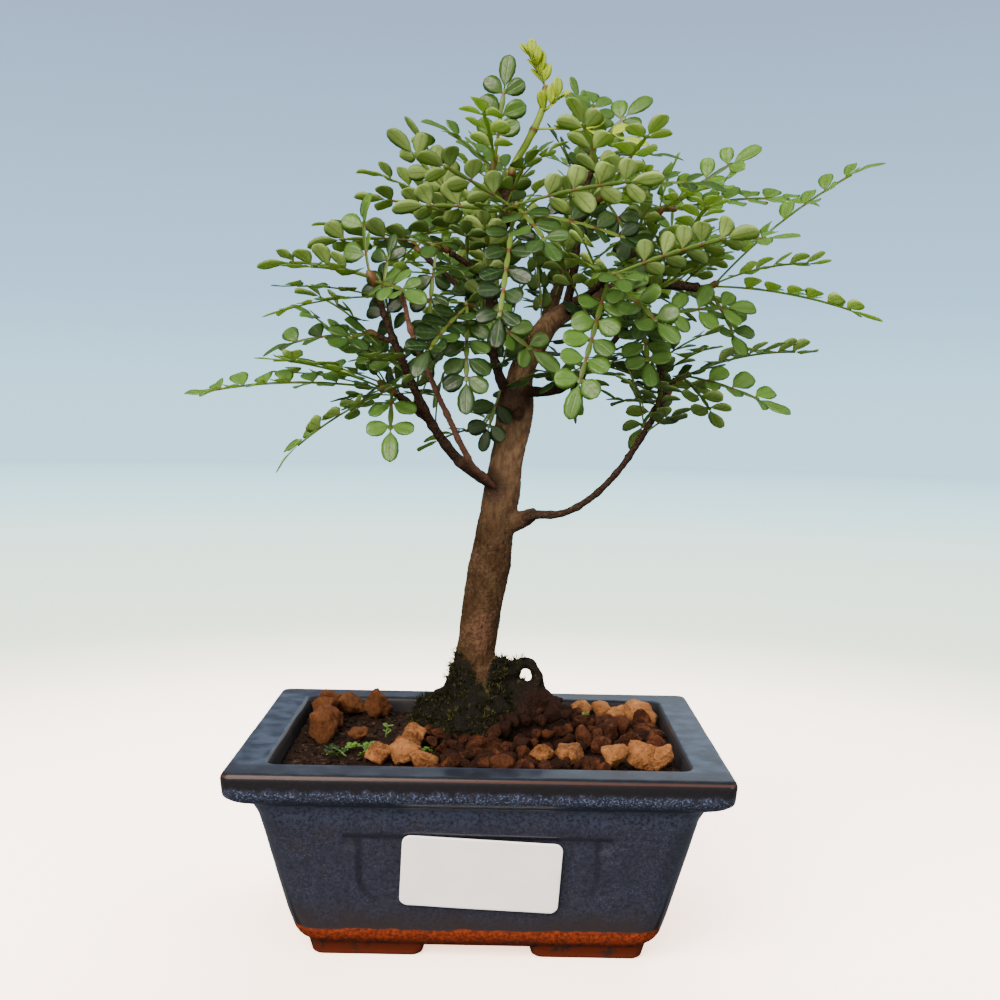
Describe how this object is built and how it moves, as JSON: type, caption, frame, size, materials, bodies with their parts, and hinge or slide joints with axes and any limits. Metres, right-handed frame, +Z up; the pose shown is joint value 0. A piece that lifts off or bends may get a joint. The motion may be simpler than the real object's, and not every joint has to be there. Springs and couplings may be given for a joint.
{
  "type": "chinese pepper bonsai",
  "caption": "Chinese pepper bonsai: a slender leaning trunk under a wide crown of pinnate leaves, in a glazed rectangular pot with soil and loose stones.",
  "frame": {"origin": "centre of the bounding box's base, level with the undersides of the pot's feet", "axes": "+Z up, +X along the pot's length to the right of someone facing the labelled front, -Y out of that front"},
  "size_m": [0.1762, 0.1162, 0.226],
  "materials": {
    "glaze": "gloss",
    "paper": "matte",
    "drain_mesh": "matte",
    "soil": "matte",
    "tan_stone": "matte",
    "lava_stone": "matte",
    "bark": "matte",
    "mature_leaf": "satin",
    "young_leaf": "satin"
  },
  "bodies": {
    "root": {"drain_mesh_left": "drain_mesh", "drain_mesh_right": "drain_mesh", "label": "paper", "lava_grains_front": "lava_stone", "lava_grains_right": "lava_stone", "pot": "glaze", "shoot_apex_left": "mature_leaf", "shoot_back_left": "mature_leaf", "shoot_back_right": "mature_leaf", "shoot_bright_leader": "young_leaf", "shoot_centre_front": "mature_leaf", "shoot_centre_low": "mature_leaf", "shoot_crown_back_left": "mature_leaf", "shoot_crown_back_right": "mature_leaf", "shoot_crown_inner_left": "mature_leaf", "shoot_front": "mature_leaf", "shoot_left": "mature_leaf", "shoot_left_back": "mature_leaf", "shoot_left_upper": "mature_leaf", "shoot_low_back": "mature_leaf", "shoot_low_left": "mature_leaf", "shoot_mid_left": "mature_leaf", "shoot_right_centre": "mature_leaf", "shoot_right_front": "mature_leaf", "shoot_right_inner": "mature_leaf", "shoot_right_low": "mature_leaf", "shoot_right_low_back": "mature_leaf", "shoot_right_outer": "mature_leaf", "shoot_right_upper": "mature_leaf", "shoot_top_front": "mature_leaf", "shoot_top_right": "mature_leaf", "shoot_upper_left": "mature_leaf", "soil": "soil", "tan_grain_left": "tan_stone", "tan_grains_back_left": "tan_stone", "tan_grains_back_right": "tan_stone", "tan_grains_front": "tan_stone", "tan_grains_front_right": "tan_stone", "tan_grains_right": "tan_stone", "trunk_and_branches": "bark"}
  },
  "joints": []
}
